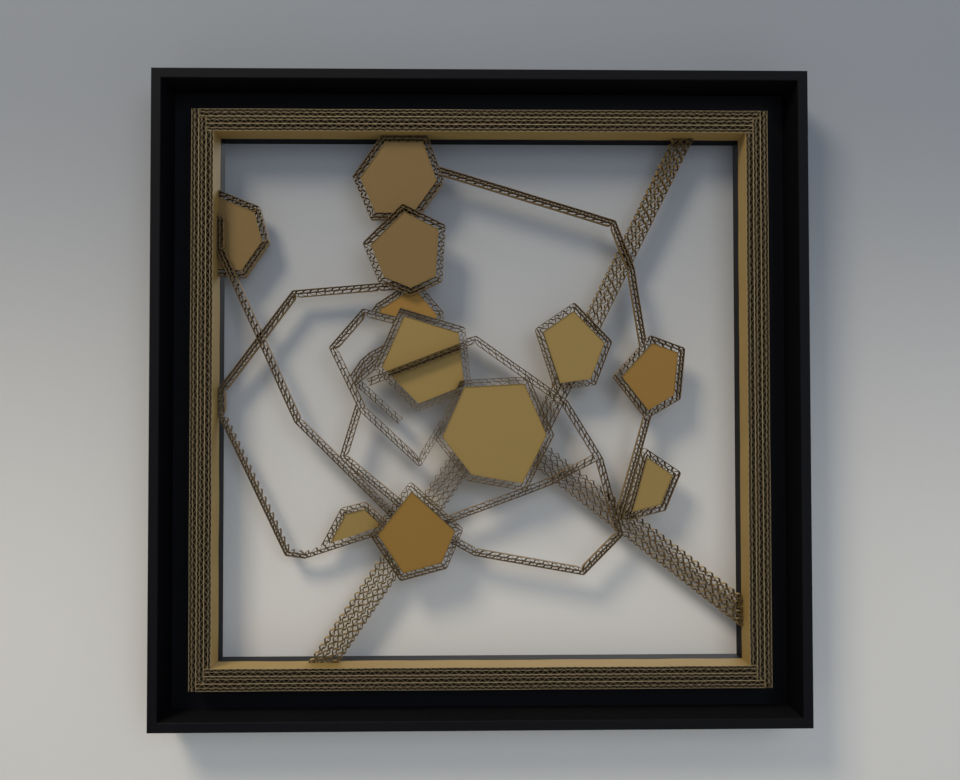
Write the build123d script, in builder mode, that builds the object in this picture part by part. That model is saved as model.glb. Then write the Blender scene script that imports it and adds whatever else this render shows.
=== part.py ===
from build123d import *
import math
import os

# A square wall relief: a black box frame, a border of corrugated boards on edge, and inside it folded
# corrugated strips, cells with kraft panels and beams of bare fluting, glued up in layers.
# The relief faces -Y and its back lies in the plane y = 0, against the wall. Heights are measured from
# the wall towards the viewer. The origin is on the hanging line of the top rail.
# Outlines are drawn as seen from the front, from the relief's centre, in millimetres.

# Double-wall board: liner, B fluting, liner, C fluting, liner
LINER = 0.35
B_HEIGHT = 2.25
C_HEIGHT = 3.05
C_PITCH = 7.8
GLUE_LINE = 0.05          # left between a flute's tips and the next sheet
BOARD = 3 * LINER + B_HEIGHT + C_HEIGHT

# Border of boards on edge
BORDER_SIZE = 500.0
BORDER_DEPTH = 25.0
BORDER_BOARDS = 3
FLUTE_RECESS = 1.5        # how far the fluting lies behind the liners' edges
OPENING = BORDER_SIZE - 2 * BORDER_BOARDS * BOARD

# Frame
RIM_GAP = 21.5            # clear channel between the border and the rim
RIM_WIDTH = 8.5           # face of the rim, which is the rail's side wall
RIM_CHAMFER = 0.6
FRAME_SIZE = BORDER_SIZE + 2 * (RIM_GAP + RIM_WIDTH)
FRAME_DEPTH = 56.5        # wall to rim
FOOT_THICKNESS = 16.0     # the rail's foot, which carries the border
HANGING_DROP = 20.0       # top edge of the frame down to the hanging line

# Keyhole slots in the back of the top rail
KEYHOLE_SPACING = 380.0
KEYHOLE_RADIUS = 5.0
KEYHOLE_NECK = 5.0
KEYHOLE_RISE = 12.0
KEYHOLE_LIP = 3.0
KEYHOLE_DEPTH = 9.0

# Layers of the relief, from the frame's foot forward
STRIP_DEPTH = 7.0
BACK_LAYER = FOOT_THICKNESS
MIDDLE_LAYER = BACK_LAYER + STRIP_DEPTH
FRONT_LAYER = MIDDLE_LAYER + STRIP_DEPTH
PANEL = 1.5               # thickness of the kraft panels
PANEL_FIT = 0.1           # clearance round a panel in its cell
PANEL_RECESS = 0.8        # how far a panel lies behind the front edge of its cell

# Beams of bare fluting
FLUTE_PAIR = 5.7          # one B and one C sheet, nested

CENTRE_HEIGHT = HANGING_DROP - FRAME_SIZE / 2
LEFT = -OPENING / 2       # inner faces of the border
RIGHT = OPENING / 2
TOP = OPENING / 2
BOTTOM = -OPENING / 2
SEAT = 8.0                # how far a glued end is drawn past its seat, before it is trimmed to it


def layer(height):
    """The drawing plane at a height above the wall, with the relief's centre at its origin."""
    return Plane(origin=(0, -height, CENTRE_HEIGHT), x_dir=(1, 0, 0), z_dir=(0, -1, 0))


def direction(start, end):
    length = math.dist(start, end)
    return ((end[0] - start[0]) / length, (end[1] - start[1]) / length)


def beside(folds, distance, closed):
    """The folds moved to their left by a distance, with mitred corners."""
    count = len(folds)
    moved = []
    for index, point in enumerate(folds):
        first = closed or index > 0
        last = closed or index < count - 1
        after = direction(point, folds[(index + 1) % count]) if last else None
        before = direction(folds[index - 1], point) if first else after
        after = after or before
        normal = (-before[1] - after[1], before[0] + after[0])
        reach = distance / (1 + before[0] * after[0] + before[1] * after[1])
        moved.append((point[0] + normal[0] * reach, point[1] + normal[1] * reach))
    return moved


def fluted(folds, base, tip, closed):
    """A line beside the folds with C flutes rising from the base distance to the tip distance."""
    low = beside(folds, base, closed)
    high = beside(folds, tip, closed)
    count = len(folds)
    line = []
    for index in range(count if closed else count - 1):
        start, end = folds[index], folds[(index + 1) % count]
        along = direction(start, end)
        across = (-along[1], along[0])

        def travel(point):
            return (point[0] - start[0]) * along[0] + (point[1] - start[1]) * along[1]

        def place(distance, offset):
            return (start[0] + along[0] * distance + across[0] * offset,
                    start[1] + along[1] * distance + across[1] * offset)

        line.append(low[index])
        near = max(travel(low[index]), travel(high[index]))
        far = min(travel(low[(index + 1) % count]), travel(high[(index + 1) % count]))
        waves = int((far - near) // C_PITCH)
        margin = (far - near - waves * C_PITCH) / 2
        for wave in range(waves):
            valley = near + margin + wave * C_PITCH
            if wave > 0 or margin > LINER:
                line.append(place(valley, base))
            line.append(place(valley + C_PITCH / 2, tip))
        if waves and margin > LINER:
            line.append(place(near + margin + waves * C_PITCH, base))
    if not closed:
        line.append(low[-1])
    return line


def outline(folds, side, closed=False):
    """The whole edge of a folded board, for trimming its neighbours."""
    if closed:
        return list(folds)
    return list(folds) + beside(folds, side * BOARD, False)[::-1]


def region(points, mode=Mode.ADD):
    """A flat face within a closed line of points, on the sketch being drawn."""
    Polygon(*points, align=None, mode=mode)


def folded_board(folds, side, height, closed=False, bold_outside=False, trims=(), in_opening=False):
    """A folded strip of double-wall board: one sheet with open C flutes, and the liner over them.

    The folds give one face of the board, which lies to their left (side 1) or right (side -1).
    """
    if bold_outside:
        base, tip, near_face, far_face = LINER + C_HEIGHT, LINER + GLUE_LINE, BOARD, 0
        liner_near, liner_far = LINER, 0
    else:
        base, tip, near_face, far_face = BOARD - LINER - C_HEIGHT, BOARD - LINER - GLUE_LINE, 0, BOARD
        liner_near, liner_far = BOARD - LINER, BOARD
    flutes = fluted(folds, side * base, side * tip, closed)
    with BuildPart() as board:
        with BuildSketch(layer(height)) as edge:
            if closed and bold_outside:
                region(folds)
                region(beside(folds, side * liner_near, True), Mode.SUBTRACT)
                region(flutes)
                region(beside(folds, side * near_face, True), Mode.SUBTRACT)
            elif closed:
                region(folds)
                region(flutes, Mode.SUBTRACT)
                region(beside(folds, side * liner_near, True))
                region(beside(folds, side * far_face, True), Mode.SUBTRACT)
            else:
                region(flutes + beside(folds, side * near_face, False)[::-1])
                region(beside(folds, side * liner_near, False)
                       + beside(folds, side * liner_far, False)[::-1])
            for neighbour in trims:
                region(neighbour, Mode.SUBTRACT)
            if in_opening:
                Rectangle(OPENING, OPENING, mode=Mode.INTERSECT)
        extrude(amount=STRIP_DEPTH)
    return board


def kraft_panel(corners, height, trims=()):
    """A flat panel of kraft card, let into the front of a cell."""
    with BuildPart() as panel:
        with BuildSketch(layer(height + STRIP_DEPTH - PANEL_RECESS - PANEL)):
            region(corners)
            for neighbour in trims:
                region(neighbour, Mode.SUBTRACT)
            Rectangle(OPENING, OPENING, mode=Mode.INTERSECT)
        extrude(amount=PANEL)
    return panel


def save(piece, name):
    piece.part.label = name
    export_step(piece.part, f"parts/{name}.step")


os.makedirs("parts", exist_ok=True)

# Frame rails: a side wall and a foot, mitred at both ends. Each is drawn on a plane turned so that its
# outer edge is at the top.
RAILS = {
    "top": (1, 0, 0),
    "right": (0, 0, -1),
    "bottom": (-1, 0, 0),
    "left": (0, 0, 1),
}
for side_name, along in RAILS.items():
    back = Plane(origin=(0, 0, CENTRE_HEIGHT), x_dir=along, z_dir=(0, -1, 0))
    outer = FRAME_SIZE / 2
    wall_inner = outer - RIM_WIDTH
    foot_inner = OPENING / 2
    with BuildPart() as rail:
        with BuildSketch(back):
            region([(-outer, outer), (outer, outer), (wall_inner, wall_inner), (-wall_inner, wall_inner)])
        extrude(amount=FRAME_DEPTH)
        with BuildSketch(back):
            region([(-outer, outer), (outer, outer), (foot_inner, foot_inner), (-foot_inner, foot_inner)])
        extrude(amount=FOOT_THICKNESS)
        rim = rail.faces().sort_by(Axis.Y)[0]
        chamfer(rim.edges().sort_by(SortBy.LENGTH)[-2:], length=RIM_CHAMFER)
        if side_name == "top":
            with BuildSketch(Plane.XZ):
                with GridLocations(KEYHOLE_SPACING, 0, 2, 1):
                    Circle(KEYHOLE_RADIUS)
            extrude(amount=KEYHOLE_DEPTH, mode=Mode.SUBTRACT)
            with BuildSketch(Plane.XZ):
                with GridLocations(KEYHOLE_SPACING, 0, 2, 1):
                    Rectangle(KEYHOLE_NECK, KEYHOLE_RISE, align=(Align.CENTER, Align.MIN))
            extrude(amount=KEYHOLE_DEPTH, mode=Mode.SUBTRACT)
            with BuildSketch(Plane.XZ.offset(KEYHOLE_LIP)):
                with GridLocations(KEYHOLE_SPACING, 0, 2, 1):
                    Rectangle(2 * KEYHOLE_RADIUS, KEYHOLE_RISE, align=(Align.CENTER, Align.MIN))
            extrude(amount=KEYHOLE_DEPTH - KEYHOLE_LIP, mode=Mode.SUBTRACT)
    save(rail, f"frame_{side_name}")

# Border boards, on edge on the foot, three deep on each side. Each starts at a corner of the board or
# side row that it butts against; the letters give the fluting from the outside in.
BORDER = {
    "left": ("BC", "BC", "CB"),
    "right": ("BC", "CB", "CB"),
    "top": ("BC", "BC", "CB"),
    "bottom": ("BC", "CB", "CB"),
}
# How many boards of the neighbouring sides a board stops short of, at both ends.
BORDER_LAPS = {
    "left": (0, 1, 3),
    "right": (0, 1, 3),
    "top": (1, 2, 2),
    "bottom": (1, 2, 2),
}
ROWS = ("outer", "middle", "inner")
for side_name, fluting in BORDER.items():
    for row, order in enumerate(fluting):
        outer = BORDER_SIZE / 2 - row * BOARD
        length = BORDER_SIZE - 2 * BORDER_LAPS[side_name][row] * BOARD
        first_flute = B_HEIGHT if order == "BC" else C_HEIGHT
        grooves = (
            (outer - LINER, outer - LINER - first_flute),
            (outer - 2 * LINER - first_flute, outer - BOARD + LINER),
        )
        back = Plane(origin=(0, -BACK_LAYER, CENTRE_HEIGHT), x_dir=RAILS[side_name], z_dir=(0, -1, 0))
        with BuildPart() as board:
            with BuildSketch(back):
                with Locations((0, outer)):
                    Rectangle(length, BOARD, align=(Align.CENTER, Align.MAX))
            extrude(amount=BORDER_DEPTH)
            with BuildSketch(back.offset(BORDER_DEPTH - FLUTE_RECESS)):
                for groove_outer, groove_inner in grooves:
                    with Locations((0, groove_outer)):
                        Rectangle(length, groove_outer - groove_inner, align=(Align.CENTER, Align.MAX))
            extrude(amount=FLUTE_RECESS, mode=Mode.SUBTRACT)
        save(board, f"border_{side_name}_{ROWS[row]}")

# Beams: start and end of the centre line, and pairs of sheets. The C flutes rise to the left of the
# beam's run.
BEAMS = {
    "upper": ((52.1, -27.6), (184.1, TOP + SEAT), 3),
    "lower_left": ((-143.3, BOTTOM - SEAT), (-15.5, -52.3), 4),
    "lower_right": ((48.5, -48), (RIGHT + SEAT, -195.5), 4),
}


def beam_edge(name):
    """The four corners of a beam."""
    start, end, pairs = BEAMS[name]
    half = pairs * FLUTE_PAIR / 2
    return beside((start, end), -half, False) + beside((start, end), half, False)[::-1]


# Cells: corners of the outer face, anticlockwise, and the layer each is glued in.
CELLS = {
    "top": ([(-87.3, TOP), (-112.8, 194), (-96.8, 156.6), (-56.4, 156.6), (-32, 190.3), (-46.8, TOP)],
            MIDDLE_LAYER),
    "upper": ([(-68.3, 169.4), (-103.2, 134.4), (-89.3, 100.6), (-60.9, 89), (-33.6, 101.8), (-30.7, 150.4)],
              FRONT_LAYER),
    "crossed": ([(-70.8, 79.1), (-94, 25.8), (-56.1, -12.2), (-8.2, 6.9), (-14, 61.8)], MIDDLE_LAYER),
    "middle": ([(-18.9, 15.2), (-41, -34.5), (-12, -72.2), (39.1, -81), (63.3, -32.4), (41.3, 18.4)],
               FRONT_LAYER),
    "centre_right": ([(82, 84), (47.2, 60.3), (65.1, 6), (100.6, 10.9), (115.4, 49.3)], MIDDLE_LAYER),
    "right": ([(148.6, 55.1), (115.4, 18.8), (145.1, -19.1), (175, -1.5), (179.5, 43.7)], MIDDLE_LAYER),
    "lower": ([(-61.5, -72.1), (-96.9, -117.9), (-70, -158.3), (-29.8, -147.3), (-15.6, -113.7)],
              FRONT_LAYER),
}
TUCKED_CELL = [(-33.3, 61.5), (-32.4, 74.7), (-57.7, 104.8), (-91.4, 82.5), (-97.5, 74)]
LOWER_RIGHT_CELL = [(141.7, -42.6), (123.1, -108.4), (161.4, -98.9), (175.3, -65.5)]

# Folded strips: the face on the B side, from end to end.
TOP_STRIP = [(-42.8, 205.2), (118.9, 156.1), (135.2, 113.9), (146.1, 45)]
RIGHT_STRIP = [(150.5, -12.5), (123, -107.5)]
LEFT_STRIP = [(LEFT, 160), (LEFT, 129.5), (-162.5, -21.5), (-66, -117)]
UPPER_LEFT_STRIP = [(LEFT, -10.5), (LEFT, 8.5), (-166, 95), (-90.5, 101.5), (-66, 103)]
LOWER_LEFT_STRIP = [(LEFT - 4, -5.5), (-171.5, -138), (-154, -140.5), (-74, -115)]
HOOK_STRIP = [(-68, 69.5), (-103.5, 78.5), (-133, 44), (-106, -11.5), (-53.5, -61), (-30, -22.5)]
INNER_STRIP = [(-109, -3.5), (-123.5, -51.5), (-118.5, -57), (-58, -107)]
ARCH_STRIP = [(-117, 16), (-105.5, 33), (-97.5, 40), (-82, 48)]
BRACE_STRIP = [(-115, 14.5), (-84, 41)]
LOOP_STRIP = [(-20, 50), (-4, 54.5), (76, -2.5), (106.5, -52.5), (124.5, -120), (89.5, -155),
              (-6.5, -137.5), (-31, -124)]
TIE_STRIP = [(-31, -110.5), (62, -76), (104, -54)]
SPUR_STRIP = [(-113, 13.5), (-73, -22.5)]
CROSS_STRIP = [(-99.5, 16.5), (-13.5, 49.5)]
LEFT_CELL = [(LEFT - SEAT, 187), (-195, 169), (-186.5, 137.5), (-207.5, 106.5), (LEFT - SEAT, 108.5)]
LOWER_LEFT_CELL = [(-141.5, -131), (-123, -96.5), (-101, -91), (-81, -109.5)]

hook_edge = outline(HOOK_STRIP, 1)
arch_edge = outline(ARCH_STRIP, -1)
loop_edge = outline(LOOP_STRIP, -1)
right_edge = outline(RIGHT_STRIP, -1)
upper_left_edge = outline(UPPER_LEFT_STRIP, -1)
lower_left_edge = outline(LOWER_LEFT_STRIP, 1)
crossed_edge = CELLS["crossed"][0]
lower_left_beam = beam_edge("lower_left")

# Cells that close on themselves, each with its panel
for name, (corners, height) in CELLS.items():
    save(folded_board(corners, 1, height, closed=True), f"cell_{name}")
    save(kraft_panel(beside(corners, BOARD + PANEL_FIT, True), height), f"panel_{name}")

lower_right_cell = folded_board(LOWER_RIGHT_CELL, 1, MIDDLE_LAYER, closed=True, bold_outside=True,
                                trims=[right_edge])
save(lower_right_cell, "cell_lower_right")
save(kraft_panel(beside(LOWER_RIGHT_CELL, BOARD + PANEL_FIT, True), MIDDLE_LAYER), "panel_lower_right")

# Cells that close against the border or against other pieces
left_cell = folded_board(LEFT_CELL, -1, BACK_LAYER, in_opening=True)
save(left_cell, "cell_left")
save(kraft_panel(LEFT_CELL, BACK_LAYER, trims=[outline(LEFT_CELL, -1)]), "panel_left")

save(folded_board(TUCKED_CELL, 1, MIDDLE_LAYER, trims=[hook_edge, crossed_edge]), "cell_tucked")
tucked_panel = kraft_panel(TUCKED_CELL, MIDDLE_LAYER, trims=[outline(TUCKED_CELL, 1), hook_edge, crossed_edge])
save(tucked_panel, "panel_tucked")

lower_left_cell = folded_board(LOWER_LEFT_CELL, -1, BACK_LAYER, bold_outside=True,
                               trims=[lower_left_edge, lower_left_beam])
save(lower_left_cell, "cell_lower_left")
lower_left_panel = kraft_panel(LOWER_LEFT_CELL, BACK_LAYER,
                               trims=[outline(LOWER_LEFT_CELL, -1), lower_left_edge, lower_left_beam])
save(lower_left_panel, "panel_lower_left")

# Strips, each trimmed to what its ends are glued to
STRIPS = {
    "top": (TOP_STRIP, -1, MIDDLE_LAYER, [CELLS["top"][0], CELLS["right"][0]]),
    "right": (RIGHT_STRIP, -1, MIDDLE_LAYER, [CELLS["right"][0], loop_edge]),
    "left": (LEFT_STRIP, 1, MIDDLE_LAYER, []),
    "upper_left": (UPPER_LEFT_STRIP, -1, BACK_LAYER, []),
    "lower_left": (LOWER_LEFT_STRIP, 1, BACK_LAYER, [upper_left_edge, lower_left_beam]),
    "hook": (HOOK_STRIP, 1, MIDDLE_LAYER, [crossed_edge]),
    "inner": (INNER_STRIP, 1, MIDDLE_LAYER, [hook_edge, outline(LEFT_STRIP, 1)]),
    "arch": (ARCH_STRIP, -1, MIDDLE_LAYER, [hook_edge, crossed_edge]),
    "brace": (BRACE_STRIP, -1, MIDDLE_LAYER, [hook_edge, arch_edge, crossed_edge]),
    "loop": (LOOP_STRIP, -1, MIDDLE_LAYER, [crossed_edge]),
    "tie": (TIE_STRIP, 1, MIDDLE_LAYER, [loop_edge]),
    "spur": (SPUR_STRIP, 1, BACK_LAYER, []),
    "cross": (CROSS_STRIP, -1, FRONT_LAYER, []),
}
for name, (folds, side, height, trims) in STRIPS.items():
    save(folded_board(folds, side, height, trims=trims, in_opening=True), f"strip_{name}")

# Beams: each pair of sheets is one layer, and the layers are stacked across the beam
for name, (start, end, pairs) in BEAMS.items():
    half = pairs * FLUTE_PAIR / 2
    with BuildPart() as beam:
        with BuildSketch(layer(BACK_LAYER)):
            for pair in range(pairs):
                edge = -half + pair * FLUTE_PAIR
                stagger = pair % 2 * C_PITCH / 2
                run = direction(start, end)
                shifted = (start[0] + run[0] * stagger, start[1] + run[1] * stagger)
                flutes = fluted((shifted, end), edge + FLUTE_PAIR - C_HEIGHT,
                                edge + FLUTE_PAIR - GLUE_LINE, False)
                first = beside((start, end), edge + FLUTE_PAIR - C_HEIGHT, False)[0]
                region([first] + flutes[1:] + beside((start, end), edge, False)[::-1])
            Rectangle(OPENING, OPENING, mode=Mode.INTERSECT)
        extrude(amount=STRIP_DEPTH)
    save(beam, f"beam_{name}")
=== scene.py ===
import math
import random

import bpy
from mathutils import Matrix, Vector, noise


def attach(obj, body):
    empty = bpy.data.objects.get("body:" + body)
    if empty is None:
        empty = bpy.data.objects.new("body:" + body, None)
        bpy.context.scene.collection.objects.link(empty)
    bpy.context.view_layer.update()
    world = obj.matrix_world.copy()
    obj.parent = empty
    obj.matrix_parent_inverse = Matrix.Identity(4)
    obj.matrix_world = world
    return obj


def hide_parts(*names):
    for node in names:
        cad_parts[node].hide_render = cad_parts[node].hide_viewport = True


# Cardboard relief: corrugated border, folded strips, cells and fluted beams in a black box frame.
# Outlines are in millimetres from the relief's centre, as seen from the front. Heights are
# millimetres from the wall towards the viewer.

MM = 0.001
CENTRE_HEIGHT = -260.0      # the relief's centre below the hanging line

# Double-wall board and the places of the papers in it
BOARD = 6.35
LINER = 0.42
FLUTING = 0.30
B_HEIGHT = 2.25
C_HEIGHT = 3.05
B_PITCH = 6.4
C_PITCH = 7.8

# Thickness of liner and fluting as they show
STRIP_PAPERS = (0.34, 0.24)
BORDER_PAPERS = (0.29, 0.26)
BEAM_FLUTING = 0.32

# Wave of the fluting. Above 0 its crests are blunt, below 0 they are pointed.
STRIP_CREST = 0.08
BORDER_CREST = -0.05
BEAM_CREST = -0.03
BEAM_CLEARANCE = 0.7 * BEAM_FLUTING     # between the middles of two sheets that touch
STEPS_PER_WAVE = 12

# Straight sheets
LINER_STEP = 5.0            # between two points of a run
TURN_STEPS = 4              # on half of a fold
SHORTEST_SHEET = 7.0        # what a trim leaves shorter than this is dropped
TRIM_HALVINGS = 12

# Fold radii of the sheet on the outside, in the middle and on the inside of a fold
OUTER_FOLD = 2.6
MIDDLE_FOLD = 1.3
INNER_FOLD = 0.4
CRUSH_LENGTH = 2.2          # how far from an inside fold the outer sheet starts to bend in
LONGEST_BEND = 0.4          # of the run before the fold
KNUCKLE = 0.85              # of the way to the corner that the sheet had before it was crushed

# What the hand leaves on cut board
WAVINESS = 0.22
WAVES_PER_MM = 0.03
SEED_STEP = 3.7             # keeps the waviness of one piece apart from the next one's
OTHER_WAY = (9, 4, 2)       # where the waviness across is read, away from the one along
RAGGED_EDGE = 0.10
RAGS_PER_MM = 0.4
SHARP_ANGLE = 48.0          # degrees between two faces of one sheet

# Layers
BACK_LAYER = 16.0
MIDDLE_LAYER = 23.0
FRONT_LAYER = 30.0
STRIP_DEPTH = 7.0
BORDER_SIZE = 500.0
BORDER_DEPTH = 25.0
BORDER_BOARDS = 3
OPENING = BORDER_SIZE - 2 * BORDER_BOARDS * BOARD
LEFT, RIGHT, TOP, BOTTOM = -OPENING / 2, OPENING / 2, OPENING / 2, -OPENING / 2
SEAT = 8.0                  # drawn past the border's inner face, then trimmed to it

# Closed cells: corners of the outer face, anticlockwise, and the layer
CELLS = {
    "top": ([(-87.3, TOP), (-112.8, 194), (-96.8, 156.6),
             (-56.4, 156.6), (-32, 190.3), (-46.8, TOP)], MIDDLE_LAYER),
    "upper": ([(-68.3, 169.4), (-103.2, 134.4), (-89.3, 100.6),
               (-60.9, 89), (-33.6, 101.8), (-30.7, 150.4)], FRONT_LAYER),
    "crossed": ([(-70.8, 79.1), (-94, 25.8), (-56.1, -12.2),
                 (-8.2, 6.9), (-14, 61.8)], MIDDLE_LAYER),
    "middle": ([(-18.9, 15.2), (-41, -34.5), (-12, -72.2),
                (39.1, -81), (63.3, -32.4), (41.3, 18.4)], FRONT_LAYER),
    "centre_right": ([(82, 84), (47.2, 60.3), (65.1, 6),
                      (100.6, 10.9), (115.4, 49.3)], MIDDLE_LAYER),
    "right": ([(148.6, 55.1), (115.4, 18.8), (145.1, -19.1),
               (175, -1.5), (179.5, 43.7)], MIDDLE_LAYER),
    "lower": ([(-61.5, -72.1), (-96.9, -117.9), (-70, -158.3),
               (-29.8, -147.3), (-15.6, -113.7)], FRONT_LAYER),
}
LOWER_RIGHT_CELL = [(141.7, -42.6), (123.1, -108.4), (161.4, -98.9), (175.3, -65.5)]

# Open cells: folds of the face on the B or C side
TUCKED_CELL = [(-33.3, 61.5), (-32.4, 74.7), (-57.7, 104.8), (-91.4, 82.5), (-97.5, 74)]
LEFT_CELL = [(LEFT - SEAT, 187), (-195, 169), (-186.5, 137.5),
             (-207.5, 106.5), (LEFT - SEAT, 108.5)]
LOWER_LEFT_CELL = [(-141.5, -131), (-123, -96.5), (-101, -91), (-81, -109.5)]

# Strips: folds of the face on the B side, the side on which the board lies, and the layer
STRIPS = {
    "top": ([(-42.8, 205.2), (118.9, 156.1), (135.2, 113.9), (146.1, 45)], -1, MIDDLE_LAYER),
    "right": ([(150.5, -12.5), (123, -107.5)], -1, MIDDLE_LAYER),
    "left": ([(LEFT, 160), (LEFT, 129.5), (-162.5, -21.5), (-66, -117)], 1, MIDDLE_LAYER),
    "upper_left": ([(LEFT, -10.5), (LEFT, 8.5), (-166, 95), (-90.5, 101.5), (-66, 103)], -1,
                   BACK_LAYER),
    "lower_left": ([(LEFT - 4, -5.5), (-171.5, -138), (-154, -140.5), (-74, -115)], 1, BACK_LAYER),
    "hook": ([(-68, 69.5), (-103.5, 78.5), (-133, 44), (-106, -11.5), (-53.5, -61), (-30, -22.5)],
             1, MIDDLE_LAYER),
    "inner": ([(-109, -3.5), (-123.5, -51.5), (-118.5, -57), (-58, -107)], 1, MIDDLE_LAYER),
    "arch": ([(-117, 16), (-105.5, 33), (-97.5, 40), (-82, 48)], -1, MIDDLE_LAYER),
    "brace": ([(-115, 14.5), (-84, 41)], -1, MIDDLE_LAYER),
    "loop": ([(-20, 50), (-4, 54.5), (76, -2.5), (106.5, -52.5), (124.5, -120), (89.5, -155),
              (-6.5, -137.5), (-31, -124)], -1, MIDDLE_LAYER),
    "tie": ([(-31, -110.5), (62, -76), (104, -54)], 1, MIDDLE_LAYER),
    "spur": ([(-113, 13.5), (-73, -22.5)], 1, BACK_LAYER),
    "cross": ([(-99.5, 16.5), (-13.5, 49.5)], -1, FRONT_LAYER),
}

# Beams: ends of the centre line, pairs of B and C fluting, and the side on which C lies
FLUTE_PAIR = 5.7
BEAMS = {
    "upper": ((52.1, -27.6), (184.1, TOP + SEAT), 3, -1),
    "lower_left": ((-143.3, BOTTOM - SEAT), (-15.5, -52.3), 4, 1),
    "lower_right": ((48.5, -48), (RIGHT + SEAT, -195.5), 4, 1),
}
LINED_BEAM = "upper"        # its last pair kept an outer liner

# Border, from the outer board to the inner one: which fluting lies outside, and by how many
# boards each end stops short of the corner
BORDER_FLUTES = {"left": ("BC", "BC", "CB"), "right": ("BC", "CB", "CB"),
                 "top": ("BC", "BC", "CB"), "bottom": ("BC", "CB", "CB")}
BORDER_LAPS = {"left": (0, 1, 3), "right": (0, 1, 3), "top": (1, 2, 2), "bottom": (1, 2, 2)}
# a side's run, clockwise, and the way from the centre out to it
BORDER_RUNS = {"left": ((0, 1), (-1, 0)), "top": ((1, 0), (0, 1)),
               "right": ((0, -1), (1, 0)), "bottom": ((-1, 0), (0, -1))}

# Seeds of the sheets' waviness and of where their waves start
CELL_SEED, STRIP_SEED, BEAM_SEED, BORDER_SEED = 10, 50, 80, 100
LOWER_RIGHT_SEED, LEFT_SEED, LOWER_LEFT_SEED, TUCKED_SEED = 30, 31, 32, 33


# Lines on the drawing

def direction(start, end):
    length = math.dist(start, end)
    return ((end[0] - start[0]) / length, (end[1] - start[1]) / length)


def blend_points(a, b, share):
    return (a[0] + (b[0] - a[0]) * share, a[1] + (b[1] - a[1]) * share)


def beside(folds, distance, closed=False):
    """The folds moved to their left by a distance, with mitred corners."""
    count = len(folds)
    moved = []
    for index, point in enumerate(folds):
        last = not closed and index == count - 1
        after = None if last else direction(point, folds[(index + 1) % count])
        before = direction(folds[index - 1], point) if closed or index > 0 else after
        after = after or before
        reach = distance / (1 + before[0] * after[0] + before[1] * after[1])
        moved.append((point[0] - (before[1] + after[1]) * reach,
                      point[1] + (before[0] + after[0]) * reach))
    return moved


def band(folds, side):
    """The whole edge of an open strip of board."""
    return list(folds) + beside(folds, side * BOARD)[::-1]


def beam_band(name):
    start, end, pairs, _ = BEAMS[name]
    half = pairs * FLUTE_PAIR / 2
    return beside((start, end), -half) + beside((start, end), half)[::-1]


def within(point, region):
    """True if the point lies inside the closed region."""
    inside = False
    x, z = point
    for (ax, az), (bx, bz) in zip(region, region[1:] + region[:1]):
        if (az > z) != (bz > z) and x < (bx - ax) * (z - az) / (bz - az) + ax:
            inside = not inside
    return inside


# Pieces of a line: each is a function of 0 to 1 that gives a point, with the piece's length

def run(start, end):
    return (lambda share: blend_points(start, end, share)), math.dist(start, end)


def bulge(start, knuckle, end):
    """A rounded bend from start to end by way of a knuckle."""
    def place(share):
        return blend_points(blend_points(start, knuckle, share),
                            blend_points(knuckle, end, share), share)

    return place, math.dist(start, knuckle) + math.dist(knuckle, end)


def crushed_turn(enter, corner, pinch, leave):
    """Two half turns of a sheet that is pinched in at an inside fold."""
    return [bulge(enter, blend_points(enter, corner, KNUCKLE), pinch),
            bulge(pinch, blend_points(leave, corner, KNUCKLE), leave)]


def round_turn(enter, before, radius, turn):
    """Two half turns of an arc that starts at enter, in the direction before."""
    hand = 1 if turn > 0 else -1
    centre = (enter[0] - before[1] * radius * hand, enter[1] + before[0] * radius * hand)
    first = math.atan2(enter[1] - centre[1], enter[0] - centre[0])

    def place(share):
        return (centre[0] + radius * math.cos(first + turn * share),
                centre[1] + radius * math.sin(first + turn * share))

    return [((lambda share: place(share / 2)), radius * abs(turn) / 2),
            ((lambda share: place(0.5 + share / 2)), radius * abs(turn) / 2)]


def straight_line(start, end, distance):
    """The line beside start and end."""
    return [run(*beside((start, end), distance))]


def folded_line(folds, distance, radii, closed, crushed=None):
    """A line beside the folds, as runs and half turns.

    radii gives the fold radius for a left turn and for a right turn. A sheet on the inside of a
    turn is crushed towards the crushed distance.
    """
    corners = beside(folds, distance, closed)
    pinches = corners if crushed is None else beside(folds, crushed, closed)
    count = len(corners)
    bends = []      # where each bend starts and ends, and its half turns
    for index, corner in enumerate(corners):
        if not closed and index in (0, count - 1):
            bends.append((corner, corner, []))
            continue
        before = direction(corners[index - 1], corner)
        after = direction(corner, corners[(index + 1) % count])
        turn = math.atan2(before[0] * after[1] - before[1] * after[0],
                          before[0] * after[0] + before[1] * after[1])
        slope = math.tan(abs(turn) / 2)
        pinched = crushed is not None and (crushed < distance) == (turn > 0)
        if pinched:
            back = CRUSH_LENGTH + abs(distance - crushed) * slope
        else:
            back = (radii[0] if turn > 0 else radii[1]) * slope
        back = min(back, LONGEST_BEND * math.dist(corners[index - 1], corner))
        enter = (corner[0] - before[0] * back, corner[1] - before[1] * back)
        leave = (corner[0] + after[0] * back, corner[1] + after[1] * back)
        if pinched:
            half_turns = crushed_turn(enter, corner, pinches[index], leave)
        else:
            half_turns = round_turn(enter, before, back / slope, turn)
        bends.append((enter, leave, half_turns))

    pieces = []
    for index in range(count if closed else count - 1):
        enter, _, half_turns = bends[(index + 1) % count]
        pieces += [run(bends[index][1], enter), *half_turns]
    return pieces


def sampled(pieces):
    """Points along the pieces of a line."""
    points = []
    for place, length in pieces:
        steps = max(int(length / LINER_STEP), TURN_STEPS if length < LINER_STEP * 2 else 1)
        points += [place(step / steps) for step in range(steps)]
    points.append(pieces[-1][0](1.0))
    return points


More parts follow.
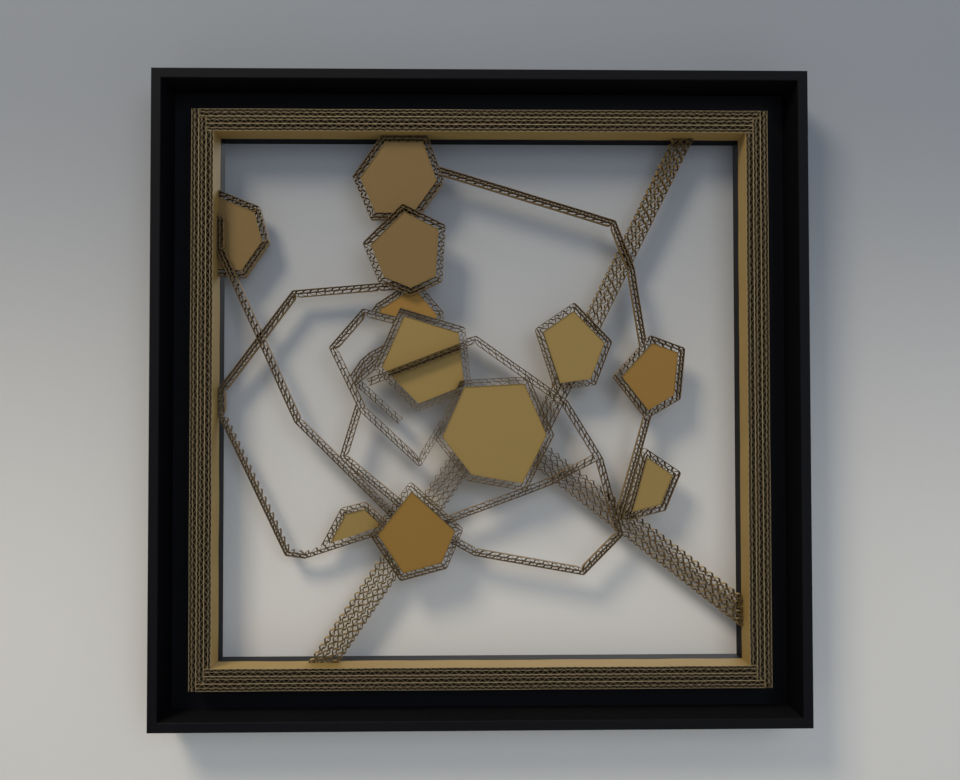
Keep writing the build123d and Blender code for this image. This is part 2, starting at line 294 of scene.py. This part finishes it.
def flute_line(low, high, pitch, clearance, start_phase, closed, crest):
    """A line waving between two matching lines, clear of each by a share of their distance."""
    total = sum((a[1] + b[1]) / 2 for a, b in zip(low, high))
    waves = total / pitch
    if closed:
        waves = round(waves)
    travelled = 0.0
    points = []
    for (low_place, low_length), (high_place, high_length) in zip(low, high):
        length = (low_length + high_length) / 2
        steps = max(math.ceil(length / pitch * STEPS_PER_WAVE), 3)
        for step in range(steps):
            share = step / steps
            angle = 2 * math.pi * (start_phase + (travelled + length * share) / total * waves)
            wave = (math.sin(angle) + crest * math.sin(3 * angle)) / (1 - crest)
            points.append(blend_points(low_place(share), high_place(share),
                                       0.5 + (0.5 - clearance) * wave))
        travelled += length
    if not closed:
        points.append(blend_points(low[-1][0](1.0), high[-1][0](1.0), 0.5))
    return points


# Sheets of paper standing on edge

def edge_between(a, b, kept):
    """The two points, brought together at the edge between what is kept and what is cut off."""
    wanted = kept(a)
    for _ in range(TRIM_HALVINGS):
        middle = blend_points(a, b, 0.5)
        if kept(middle) == wanted:
            a = middle
        else:
            b = middle
    return a, b


def kept_stretches(points, kept):
    """The stretches of a line that stay when the rest is cut off."""
    stretches, current = [], []
    for index, point in enumerate(points):
        if index and kept(point) != kept(points[index - 1]):
            a, b = edge_between(points[index - 1], point, kept)
            if kept(point):
                current = [b]
            else:
                current.append(a)
                stretches.append(current)
                current = []
        if kept(point):
            current.append(point)
    if current:
        stretches.append(current)
    return stretches


class Sheets:
    """Collects sheets of paper into one mesh."""

    def __init__(self, name, seed):
        self.name = name
        self.verts = []
        self.faces = []
        self.materials = []
        self.random = random.Random(seed)
        self.seed = seed

    def wander(self, point):
        """The small waviness of hand-cut board."""
        place = Vector((point[0] * WAVES_PER_MM, point[1] * WAVES_PER_MM, self.seed * SEED_STEP))
        return (point[0] + WAVINESS * noise.noise(place),
                point[1] + WAVINESS * noise.noise(place + Vector(OTHER_WAY)))

    def sheet(self, points, thickness, heights, material, closed=False, trims=(), opening=False):
        """A sheet along a line, trimmed where it meets its neighbours and, with opening, where it
        meets the border. heights gives its back and its front."""
        points = [self.wander(point) for point in points]

        def kept(point):
            if opening and (abs(point[0]) > OPENING / 2 or abs(point[1]) > OPENING / 2):
                return False
            return not any(within(point, region) for region in trims)

        for stretch in [points] if closed else kept_stretches(points, kept):
            if sum(math.dist(a, b) for a, b in zip(stretch, stretch[1:])) > SHORTEST_SHEET:
                self.wall(stretch, thickness, heights, material, closed)

    def wall(self, line, thickness, heights, material, closed):
        """A closed wall of paper along the line, ragged at its front edge."""
        count = len(line)
        first = len(self.verts)
        back, front = heights
        for index, point in enumerate(line):
            previous = line[index - 1] if closed or index else point
            following = line[(index + 1) % count] if closed or index < count - 1 else point
            span = math.dist(previous, following) or 1.0
            across = (-(following[1] - previous[1]) / span * thickness / 2,
                      (following[0] - previous[0]) / span * thickness / 2)
            place = Vector((point[0] * RAGS_PER_MM, point[1] * RAGS_PER_MM, self.seed))
            ragged = RAGGED_EDGE * noise.noise(place)
            for side in (1, -1):
                for height in (back, front + ragged):
                    self.verts.append(((point[0] + side * across[0]) * MM, -height * MM,
                                       (point[1] + side * across[1] + CENTRE_HEIGHT) * MM))
        for index in range(count if closed else count - 1):
            a = first + 4 * index
            b = first + 4 * ((index + 1) % count)
            self.faces += [(a, a + 1, b + 1, b), (a + 3, a + 2, b + 2, b + 3),
                           (a + 1, a + 3, b + 3, b + 1), (a + 2, a, b, b + 2)]
            self.materials += [material] * 4
        if not closed:
            last = first + 4 * (count - 1)
            self.faces += [(first, first + 2, first + 3, first + 1),
                           (last, last + 1, last + 3, last + 2)]
            self.materials += [material] * 2

    def finish(self, materials, slot, *nodes):
        mesh = bpy.data.meshes.new(self.name)
        mesh.from_pydata(self.verts, [], self.faces)
        for material in materials:
            mesh.materials.append(material)
        mesh.polygons.foreach_set("material_index", self.materials)
        mesh.polygons.foreach_set("use_smooth", [True] * len(mesh.polygons))
        mesh.set_sharp_from_angle(angle=math.radians(SHARP_ANGLE))
        mesh.update()
        piece = bpy.data.objects.new(self.name, mesh)
        bpy.context.scene.collection.objects.link(piece)
        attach(piece, "root")
        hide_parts(*nodes)
        return piece


# Places in a board's list of papers
LINERS, WAVES, LINING = 0, 1, 2


def double_wall(sheets, folds, side, heights, closed=False, c_outside=False, bare_c=False,
                trims=(), opening=False, lining=LINERS, papers=STRIP_PAPERS, crest=STRIP_CREST):
    """Five sheets of double-wall board beside the folds: liner, B fluting, liner, C fluting, liner.

    c_outside puts the C fluting at the folds, bare_c ends the board with its C fluting, and
    lining is the paper of the last liner.
    """
    middle = LINER * 1.5 + (C_HEIGHT if c_outside else B_HEIGHT)
    # the folds' own face is on the outside of a left turn if the board lies on the left
    near_radii, far_radii = (OUTER_FOLD, INNER_FOLD), (INNER_FOLD, OUTER_FOLD)
    if side < 0:
        near_radii, far_radii = far_radii, near_radii
    crushed = [None if closed else side * (middle + step * (LINER + FLUTING)) for step in (-1, 1)]
    lines = [folded_line(folds, side * LINER / 2, near_radii, closed, crushed[0]),
             folded_line(folds, side * middle, (MIDDLE_FOLD, MIDDLE_FOLD), closed),
             folded_line(folds, side * (BOARD - LINER / 2), far_radii, closed, crushed[1])]
    options = {"closed": closed, "trims": trims, "opening": opening}
    liner, fluting = papers
    for line, paper_place in zip(lines[:2] if bare_c else lines, (LINERS, LINERS, lining)):
        points = sampled(line)
        sheets.sheet(points[:-1] if closed else points, liner, heights, paper_place, **options)
    kinds = [(B_PITCH, B_HEIGHT), (C_PITCH, C_HEIGHT)]
    if c_outside:
        kinds.reverse()
    for low, high, (pitch, gap) in zip(lines, lines[1:], kinds):
        clearance = (liner + fluting) / 2 / (gap + LINER)
        points = flute_line(low, high, pitch, clearance, sheets.random.random(), closed, crest)
        sheets.sheet(points, fluting, heights, WAVES, **options)


# Materials

GRAIN = (0.86, 1.12)        # how far single fibres darken and lighten the paper
SPECK_DARKNESS = 0.45       # of the darker cloud
SPREAD = 0.08               # of a paper's roughness, each way
TOOTH_HEIGHT = 0.0002


def rgba(colour):
    return (*colour, 1.0)


def plug(links, value, socket):
    """Links an output to the socket, or sets the socket to a plain value."""
    if isinstance(value, bpy.types.NodeSocket):
        links.new(value, socket)
    else:
        socket.default_value = value


def new_material(name):
    material = bpy.data.materials.new(name)
    material.use_nodes = True
    nodes = material.node_tree.nodes
    return material, nodes, material.node_tree.links, nodes["Principled BSDF"]


def group_tree(name, inputs, outputs):
    tree = bpy.data.node_groups.new(name, "ShaderNodeTree")
    for label, kind, value in inputs:
        socket = tree.interface.new_socket(label, in_out="INPUT", socket_type=kind)
        socket.default_value = value
    for label in outputs:
        tree.interface.new_socket(label, in_out="OUTPUT", socket_type="NodeSocketFloat")
    return tree, tree.nodes.new("NodeGroupInput"), tree.nodes.new("NodeGroupOutput")


def group_node(nodes, tree):
    node = nodes.new("ShaderNodeGroup")
    node.node_tree = tree
    return node


def mix_colour(nodes, links, share, a, b):
    mix = nodes.new("ShaderNodeMix")
    mix.data_type = "RGBA"
    for label, value in (("Factor", share), ("A", a), ("B", b)):
        plug(links, value, mix.inputs[label])
    return mix.outputs["Result"]


def maths(nodes, links, operation, a, b):
    node = nodes.new("ShaderNodeMath")
    node.operation = operation
    for socket, value in zip(node.inputs, (a, b)):
        plug(links, value, socket)
    return node.outputs[0]


def remap(nodes, links, value, source=(0.0, 1.0), target=(0.0, 1.0)):
    node = nodes.new("ShaderNodeMapRange")
    plug(links, value, node.inputs["Value"])
    node.inputs["From Min"].default_value, node.inputs["From Max"].default_value = source
    node.inputs["To Min"].default_value, node.inputs["To Max"].default_value = target
    return node.outputs[0]


def object_place(nodes):
    return nodes.new("ShaderNodeTexCoord").outputs["Object"]


def surface_direction(nodes, links, axis):
    """How far the surface faces along an axis, from -1 to 1."""
    parts = nodes.new("ShaderNodeSeparateXYZ")
    links.new(nodes.new("ShaderNodeNewGeometry").outputs["Normal"], parts.inputs[0])
    return parts.outputs[axis]


def cloud_noise(nodes, links, place, scale, detail=2.0, roughness=0.5):
    node = nodes.new("ShaderNodeTexNoise")
    links.new(place, node.inputs["Vector"])
    for label, value in (("Scale", scale), ("Detail", detail), ("Roughness", roughness)):
        plug(links, value, node.inputs[label])
    return node.outputs[0]


def bumpy(nodes, links, shader, height, strength, distance):
    bump = nodes.new("ShaderNodeBump")
    bump.inputs["Strength"].default_value = strength
    bump.inputs["Distance"].default_value = distance
    links.new(height, bump.inputs["Height"])
    links.new(bump.outputs[0], shader.inputs["Normal"])


def paper_fibre_group():
    """Pulp clouding, short fibres and dark specks of unbleached paper."""
    tree, entry, leave = group_tree(
        "paper fibre",
        [("Cloud Scale", "NodeSocketFloat", 40.0), ("Fibre Scale", "NodeSocketFloat", 900.0),
         ("Fibre Stretch", "NodeSocketVector", (1.0, 1.0, 0.2))],
        ["Clouding", "Fibre", "Specks"])
    nodes, links = tree.nodes, tree.links
    place = object_place(nodes)
    clouding = cloud_noise(nodes, links, place, entry.outputs["Cloud Scale"], 5.0)
    stretch = nodes.new("ShaderNodeVectorMath")
    stretch.operation = "MULTIPLY"
    links.new(place, stretch.inputs[0])
    links.new(entry.outputs["Fibre Stretch"], stretch.inputs[1])
    fibre = cloud_noise(nodes, links, stretch.outputs[0], entry.outputs["Fibre Scale"], 3.0, 0.65)
    specks = nodes.new("ShaderNodeTexVoronoi")
    specks.inputs["Scale"].default_value = 150.0
    links.new(place, specks.inputs["Vector"])
    dots = remap(nodes, links, specks.outputs["Distance"], (0.05, 0.11), (1.0, 0.0))
    links.new(clouding, leave.inputs["Clouding"])
    links.new(fibre, leave.inputs["Fibre"])
    links.new(dots, leave.inputs["Specks"])
    return tree


def cut_edge_group():
    """Mask of the edges that face the viewer, where the paper was cut."""
    tree, entry, leave = group_tree(
        "cut edge", [("Furriness", "NodeSocketFloat", 0.3)], ["Edge"])
    nodes, links = tree.nodes, tree.links
    facing = maths(nodes, links, "MULTIPLY", surface_direction(nodes, links, "Y"), -1.0)
    fur = cloud_noise(nodes, links, object_place(nodes), 1400.0)
    loose = maths(nodes, links, "MULTIPLY", fur, entry.outputs["Furriness"])
    ragged = maths(nodes, links, "SUBTRACT", facing, loose)
    links.new(remap(nodes, links, ragged, (0.45, 0.75)), leave.inputs["Edge"])
    return tree


PAPER_FIBRE = paper_fibre_group()
CUT_EDGE = cut_edge_group()


def paper(name, colour, dark, cut, roughness, tooth, stretch=(1.0, 1.0, 0.2), specks=0.35):
    """Unbleached paper: its colour, a darker cloud, the colour where it is cut, and its tooth."""
    material, nodes, links, shader = new_material(name)
    fibre = group_node(nodes, PAPER_FIBRE)
    fibre.inputs["Fibre Stretch"].default_value = stretch
    edge = group_node(nodes, CUT_EDGE)
    cloudy = mix_colour(nodes, links, fibre.outputs["Clouding"], rgba(dark), rgba(colour))
    grainy = nodes.new("ShaderNodeVectorMath")
    grainy.operation = "SCALE"
    links.new(cloudy, grainy.inputs[0])
    links.new(remap(nodes, links, fibre.outputs["Fibre"], target=GRAIN),
              grainy.inputs["Scale"])
    speck_share = maths(nodes, links, "MULTIPLY", fibre.outputs["Specks"], specks)
    speck_colour = rgba(part * SPECK_DARKNESS for part in dark)
    speckled = mix_colour(nodes, links, speck_share, grainy.outputs[0], speck_colour)
    faced = mix_colour(nodes, links, edge.outputs["Edge"], speckled, rgba(cut))
    links.new(faced, shader.inputs["Base Color"])
    links.new(remap(nodes, links, fibre.outputs["Fibre"],
                    target=(roughness - SPREAD, roughness + SPREAD)), shader.inputs["Roughness"])
    shader.inputs["Specular IOR Level"].default_value = 0.25
    bumpy(nodes, links, shader, fibre.outputs["Fibre"], tooth, TOOTH_HEIGHT)
    return material


def card(name, colour, dark, cut):
    """Smooth card, its fibres lying all ways."""
    return paper(name, colour, dark, cut, 0.62, 0.15, (1.0, 1.0, 1.0), 0.25)


def black_paint(name):
    """Satin black paint over close-grained wood, with a little dust on what faces up."""
    material, nodes, links, shader = new_material(name)
    place = object_place(nodes)
    grain = cloud_noise(nodes, links, place, 260.0, 4.0)
    patches = cloud_noise(nodes, links, place, 9.0, 3.0)
    colour = mix_colour(nodes, links, patches,
                        rgba((0.003, 0.003, 0.0042)), rgba((0.0055, 0.0055, 0.0075)))
    up = maths(nodes, links, "MAXIMUM", surface_direction(nodes, links, "Z"), 0.0)
    settled = maths(nodes, links, "MULTIPLY", up, grain)
    dust = maths(nodes, links, "MULTIPLY", settled, 0.05)
    dusty = mix_colour(nodes, links, dust, colour, rgba((0.20, 0.19, 0.18)))
    links.new(dusty, shader.inputs["Base Color"])
    links.new(remap(nodes, links, patches, target=(0.52, 0.64)), shader.inputs["Roughness"])
    shader.inputs["Specular IOR Level"].default_value = 0.08
    bumpy(nodes, links, shader, grain, 0.12, 0.0003)
    return material


BLACK_PAINT = black_paint("satin black paint")
KRAFT_LINER = paper("kraft liner", (0.36, 0.245, 0.078), (0.28, 0.182, 0.054),
                    (0.26, 0.20, 0.11), 0.72, 0.25)
# painted shade: a near-black copy of the kraft liner, keeping its cut colour, for the liners in the
# dark gaps between the border's boards
SHADED_GAP_LINER = paper("liner with painted shade", (0.06, 0.04, 0.019), (0.04, 0.027, 0.012),
                    (0.26, 0.20, 0.11), 0.78, 0.25)
BROWN_LINER = paper("brown liner", (0.25, 0.165, 0.068), (0.18, 0.117, 0.047),
                    (0.135, 0.091, 0.043), 0.78, 0.3)
GOLDEN_LINING = paper("golden lining", (0.21, 0.14, 0.05), (0.17, 0.112, 0.04),
                      (0.23, 0.155, 0.052), 0.70, 0.2)
FLUTING_PAPER = paper("fluting paper", (0.15, 0.099, 0.042), (0.10, 0.066, 0.028),
                      (0.12, 0.08, 0.038), 0.80, 0.35)
# painted light: the sides are a lighter copy of the fluting paper, for beam flutes lit from above;
# painted shade: the near-black cut edges, for edges seen dark against the lit wall
BEAM_PAPER_PAINTED_LIGHT = paper("beam fluting with painted light and shade", (0.38, 0.258, 0.072), (0.29, 0.195, 0.054),
                   (0.055, 0.036, 0.016), 0.80, 0.35)
# painted shade: near-black fluting sides for the dark hollows between the border's flutes; the cut
# edges keep a light paper colour
SHADED_BORDER_FLUTING = paper("border fluting with painted shade", (0.035, 0.024, 0.012), (0.025, 0.017, 0.009),
                     (0.25, 0.192, 0.108), 0.80, 0.35)
OLIVE_CARD = card("olive kraft card", (0.255, 0.171, 0.051), (0.22, 0.146, 0.043),
                  (0.25, 0.168, 0.05))
# painted shade: a darker copy of the olive card, for the dimmer light on the upper panels
SHADED_TAN_CARD = card("tan kraft card with painted shade", (0.165, 0.102, 0.034), (0.143, 0.087, 0.029),
                (0.16, 0.10, 0.033))
ORANGE_CARD = card("orange kraft card", (0.235, 0.128, 0.023), (0.20, 0.108, 0.019),
                   (0.23, 0.125, 0.022))

# The papers of each board: liners, fluting and lining
# the border board's liners and fluting carry painted shade; its lining is plain kraft liner
BORDER_BOARD = (SHADED_GAP_LINER, SHADED_BORDER_FLUTING, KRAFT_LINER)
STRIP_BOARD = (BROWN_LINER, FLUTING_PAPER)
CELL_BOARD = (BROWN_LINER, FLUTING_PAPER, GOLDEN_LINING)
BEAM_BOARD = (BROWN_LINER, BEAM_PAPER_PAINTED_LIGHT)

# The card of each panel that isn't olive; the darker tan card is painted shade
PANEL_CARDS = {"panel_top": SHADED_TAN_CARD, "panel_upper": SHADED_TAN_CARD, "panel_left": SHADED_TAN_CARD,
               "panel_tucked": ORANGE_CARD, "panel_right": ORANGE_CARD,
               "panel_lower": ORANGE_CARD}


# The relief

def folded_cell(name, seed, folds, side, layer, **options):
    sheets = Sheets(f"folded_cell_{name}", seed)
    double_wall(sheets, folds, side, (layer, layer + STRIP_DEPTH), lining=LINING, **options)
    sheets.finish(CELL_BOARD, "corrugated_board", f"cell_{name}")


def build_cells():
    for index, (name, (corners, layer)) in enumerate(CELLS.items()):
        folded_cell(name, CELL_SEED + index, corners, 1, layer, closed=True)
    folded_cell("lower_right", LOWER_RIGHT_SEED, LOWER_RIGHT_CELL, 1, MIDDLE_LAYER,
                closed=True, c_outside=True)
    folded_cell("left", LEFT_SEED, LEFT_CELL, -1, BACK_LAYER, opening=True)
    folded_cell("tucked", TUCKED_SEED, TUCKED_CELL, 1, MIDDLE_LAYER,
                trims=[band(*STRIPS["hook"][:2]), CELLS["crossed"][0]])
    folded_cell("lower_left", LOWER_LEFT_SEED, LOWER_LEFT_CELL, -1, BACK_LAYER, c_outside=True,
                trims=[band(*STRIPS["lower_left"][:2]), beam_band("lower_left")])


def build_strips():
    edges = {name: band(folds, side) for name, (folds, side, _) in STRIPS.items()}
    cells = {name: corners for name, (corners, _) in CELLS.items()}
    meets = {
        "top": [cells["top"], cells["right"]],
        "right": [cells["right"], edges["loop"]],
        "lower_left": [edges["upper_left"], beam_band("lower_left")],
        "hook": [cells["crossed"]],
        "inner": [edges["hook"], edges["left"]],
        "arch": [edges["hook"], cells["crossed"]],
        "brace": [edges["hook"], edges["arch"], cells["crossed"]],
        "loop": [cells["crossed"]],
        "tie": [edges["loop"]],
    }
    for index, (name, (folds, side, layer)) in enumerate(STRIPS.items()):
        sheets = Sheets(f"folded_strip_{name}", STRIP_SEED + index)
        double_wall(sheets, folds, side, (layer, layer + STRIP_DEPTH),
                    bare_c=name == "lower_left", trims=meets.get(name, ()), opening=True)
        sheets.finish(STRIP_BOARD, "corrugated_board", f"strip_{name}")


def build_beams():
    """Pairs of B and C fluting, each still on its middle liner, stacked without outer liners."""
    heights = (BACK_LAYER, MIDDLE_LAYER)
    for index, (name, (start, end, pairs, c_side)) in enumerate(BEAMS.items()):
        sheets = Sheets(f"stacked_beam_{name}", BEAM_SEED + index)
        for pair in range(pairs):
            edge = (pair - pairs / 2) * FLUTE_PAIR
            far_edge = edge + FLUTE_PAIR
            liner = edge + (FLUTE_PAIR + LINER) * B_HEIGHT / (B_HEIGHT + C_HEIGHT + LINER)
            for low, high, pitch in ((edge, liner, B_PITCH), (liner, far_edge, C_PITCH)):
                points = flute_line(straight_line(start, end, c_side * low),
                                    straight_line(start, end, c_side * high), pitch,
                                    BEAM_CLEARANCE / (high - low), sheets.random.random(),
                                    False, BEAM_CREST)
                sheets.sheet(points, BEAM_FLUTING, heights, WAVES, opening=True)
            lined = name == LINED_BEAM and pair == pairs - 1
            for distance in (liner, far_edge) if lined else (liner,):
                line = sampled(straight_line(start, end, c_side * distance))
                sheets.sheet(line, STRIP_PAPERS[0], heights, LINERS, opening=True)
        sheets.finish(BEAM_BOARD, "bare_fluting", f"beam_{name}")


def build_border():
    """Twelve boards on edge, lapped at the corners as in the frame."""
    heights = (BACK_LAYER, BACK_LAYER + BORDER_DEPTH)
    for side_index, (side, boards) in enumerate(BORDER_FLUTES.items()):
        along, out = BORDER_RUNS[side]
        for row, fluting in enumerate(boards):
            half = BORDER_SIZE / 2 - BORDER_LAPS[side][row] * BOARD
            reach = BORDER_SIZE / 2 - row * BOARD
            folds = [(out[0] * reach + along[0] * end, out[1] * reach + along[1] * end)
                     for end in (-half, half)]
            sheets = Sheets(f"edge_board_{side}_{row + 1}",
                            BORDER_SEED + BORDER_BOARDS * side_index + row)
            double_wall(sheets, folds, -1, heights, c_outside=fluting == "CB",
                        lining=LINING, papers=BORDER_PAPERS, crest=BORDER_CREST)
            place = ("outer", "middle", "inner")[row]
            sheets.finish(BORDER_BOARD, "corrugated_board", f"border_{side}_{place}")


def dress_kept_nodes():
    """Paint for the frame and card for the panels, whose own shapes stay."""
    for name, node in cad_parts.items():
        if name.startswith(("frame_", "panel_")):
            painted = name.startswith("frame_")
            node.data.materials.clear()
            node.data.materials.append(BLACK_PAINT if painted
                                       else PANEL_CARDS.get(name, OLIVE_CARD))


# Room, light and camera

ROOM_HALF_WIDTH = 3.0
ROOM_DEPTH = 4.0
WALL_TOP = 1.6
FLOOR_LEVEL = -1.3
WALL_GAP = 0.0006           # between the frame's back and the wall
WALL_SHADE_FADE = (-0.50, 0.06)   # the heights over which painted shade turns the wall from pale to grey
# painted shade: the wall's cooler grey towards the top, where the room's light is dimmer
WALL_SHADED_TOP = (0.255, 0.272, 0.30)
WALL_PALE = (0.63, 0.62, 0.60)
FLOOR_PALE = (0.62, 0.62, 0.61)

# Lamps: where each stands, its width and height, power and colour
LAMPS = {
    "ceiling light": ((-1.15, -1.68, 1.39), (0.8, 0.8), 38, (1.0, 0.87, 0.68)),
    "window light": ((0.8, -2.9, 0.35), (1.8, 1.5), 24, (0.80, 0.89, 1.0)),
    "back fill": ((0.6, 2.0, 0.9), (1.6, 1.2), 26, (0.95, 0.97, 1.0)),
}
LAMP_TARGET = (0, -0.03, CENTRE_HEIGHT * MM)
ROOM_LIGHT = (0.80, 0.88, 1.0)
ROOM_STRENGTH = 0.36

LENS = 35.78
CAMERA_PLACE = (-0.01617, -0.8631, -0.2729)
CAMERA_TURN = ((-0.0182, "Z"), (0.0237, "X"), (0.0014, "Y"))


def stage_material(name, top, bottom, low, high):
    """A pale matt surface that fades from one tone to another with height, clear from behind. On
    the wall the fade is painted shade, grey and cooler towards the top.
    """
    material, nodes, links, shader = new_material(name)
    parts = nodes.new("ShaderNodeSeparateXYZ")
    links.new(object_place(nodes), parts.inputs[0])
    fade = nodes.new("ShaderNodeMapRange")
    fade.interpolation_type = "SMOOTHSTEP"
    fade.inputs["From Min"].default_value = low
    fade.inputs["From Max"].default_value = high
    links.new(parts.outputs["Z"], fade.inputs["Value"])
    links.new(mix_colour(nodes, links, fade.outputs[0], rgba(bottom), rgba(top)),
              shader.inputs["Base Color"])
    shader.inputs["Roughness"].default_value = 0.9
    shader.inputs["Specular IOR Level"].default_value = 0.1
    geometry = nodes.new("ShaderNodeNewGeometry")
    clear = nodes.new("ShaderNodeBsdfTransparent")
    either = nodes.new("ShaderNodeMixShader")
    links.new(geometry.outputs["Backfacing"], either.inputs[0])
    links.new(shader.outputs[0], either.inputs[1])
    links.new(clear.outputs[0], either.inputs[2])
    links.new(either.outputs[0], nodes["Material Output"].inputs["Surface"])
    return material


def quad(name, corners, material):
    mesh = bpy.data.meshes.new(name)
    mesh.from_pydata(corners, [], [(0, 1, 2, 3)])
    mesh.materials.append(material)
    piece = bpy.data.objects.new(name, mesh)
    bpy.context.scene.collection.objects.link(piece)
    return piece


def area_lamp(name, place, size, power, colour):
    light = bpy.data.lights.new(name, "AREA")
    light.shape = "RECTANGLE"
    light.size, light.size_y = size
    light.energy = power
    light.color = colour
    lamp = bpy.data.objects.new(name, light)
    lamp.location = place
    lamp.rotation_euler = (Vector(LAMP_TARGET) - Vector(place)).to_track_quat("-Z", "Y").to_euler()
    bpy.context.scene.collection.objects.link(lamp)


def build_stage():
    left, right = -ROOM_HALF_WIDTH, ROOM_HALF_WIDTH
    wall = quad("wall", [(left, WALL_GAP, FLOOR_LEVEL), (right, WALL_GAP, FLOOR_LEVEL),
                         (right, WALL_GAP, WALL_TOP), (left, WALL_GAP, WALL_TOP)],
                stage_material("pale wall with painted shade", WALL_SHADED_TOP, WALL_PALE, *WALL_SHADE_FADE))
    wall.visible_shadow = False
    quad("floor", [(left, -ROOM_DEPTH, FLOOR_LEVEL), (right, -ROOM_DEPTH, FLOOR_LEVEL),
                   (right, WALL_GAP, FLOOR_LEVEL), (left, WALL_GAP, FLOOR_LEVEL)],
         stage_material("pale floor", FLOOR_PALE, FLOOR_PALE, -2, -1))
    for name, lamp in LAMPS.items():
        area_lamp(name, *lamp)
    world = bpy.data.worlds.new("room")
    world.use_nodes = True
    background = world.node_tree.nodes["Background"]
    background.inputs["Color"].default_value = rgba(ROOM_LIGHT)
    background.inputs["Strength"].default_value = ROOM_STRENGTH
    bpy.context.scene.world = world
    bpy.context.scene.view_settings.view_transform = "Standard"


def build_camera():
    """The viewer stands a little left of and below the relief's middle, close to it."""
    camera = bpy.data.cameras.new("camera")
    camera.sensor_width = 36.0
    camera.lens = LENS
    camera.clip_start = 0.01
    viewer = bpy.data.objects.new("camera", camera)
    stand = Matrix.Translation(CAMERA_PLACE)
    for angle, axis in CAMERA_TURN:
        stand = stand @ Matrix.Rotation(angle, 4, axis)
    viewer.matrix_world = stand @ Matrix.Rotation(math.pi / 2, 4, "X")
    bpy.context.scene.collection.objects.link(viewer)
    bpy.context.scene.camera = viewer


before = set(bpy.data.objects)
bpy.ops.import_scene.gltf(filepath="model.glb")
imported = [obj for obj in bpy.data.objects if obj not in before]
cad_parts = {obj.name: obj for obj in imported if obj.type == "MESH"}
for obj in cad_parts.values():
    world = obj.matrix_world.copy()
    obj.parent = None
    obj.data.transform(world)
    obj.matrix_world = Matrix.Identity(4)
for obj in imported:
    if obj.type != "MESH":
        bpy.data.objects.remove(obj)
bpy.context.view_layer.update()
build_camera()
build_border()
build_cells()
build_strips()
build_beams()
dress_kept_nodes()
build_stage()
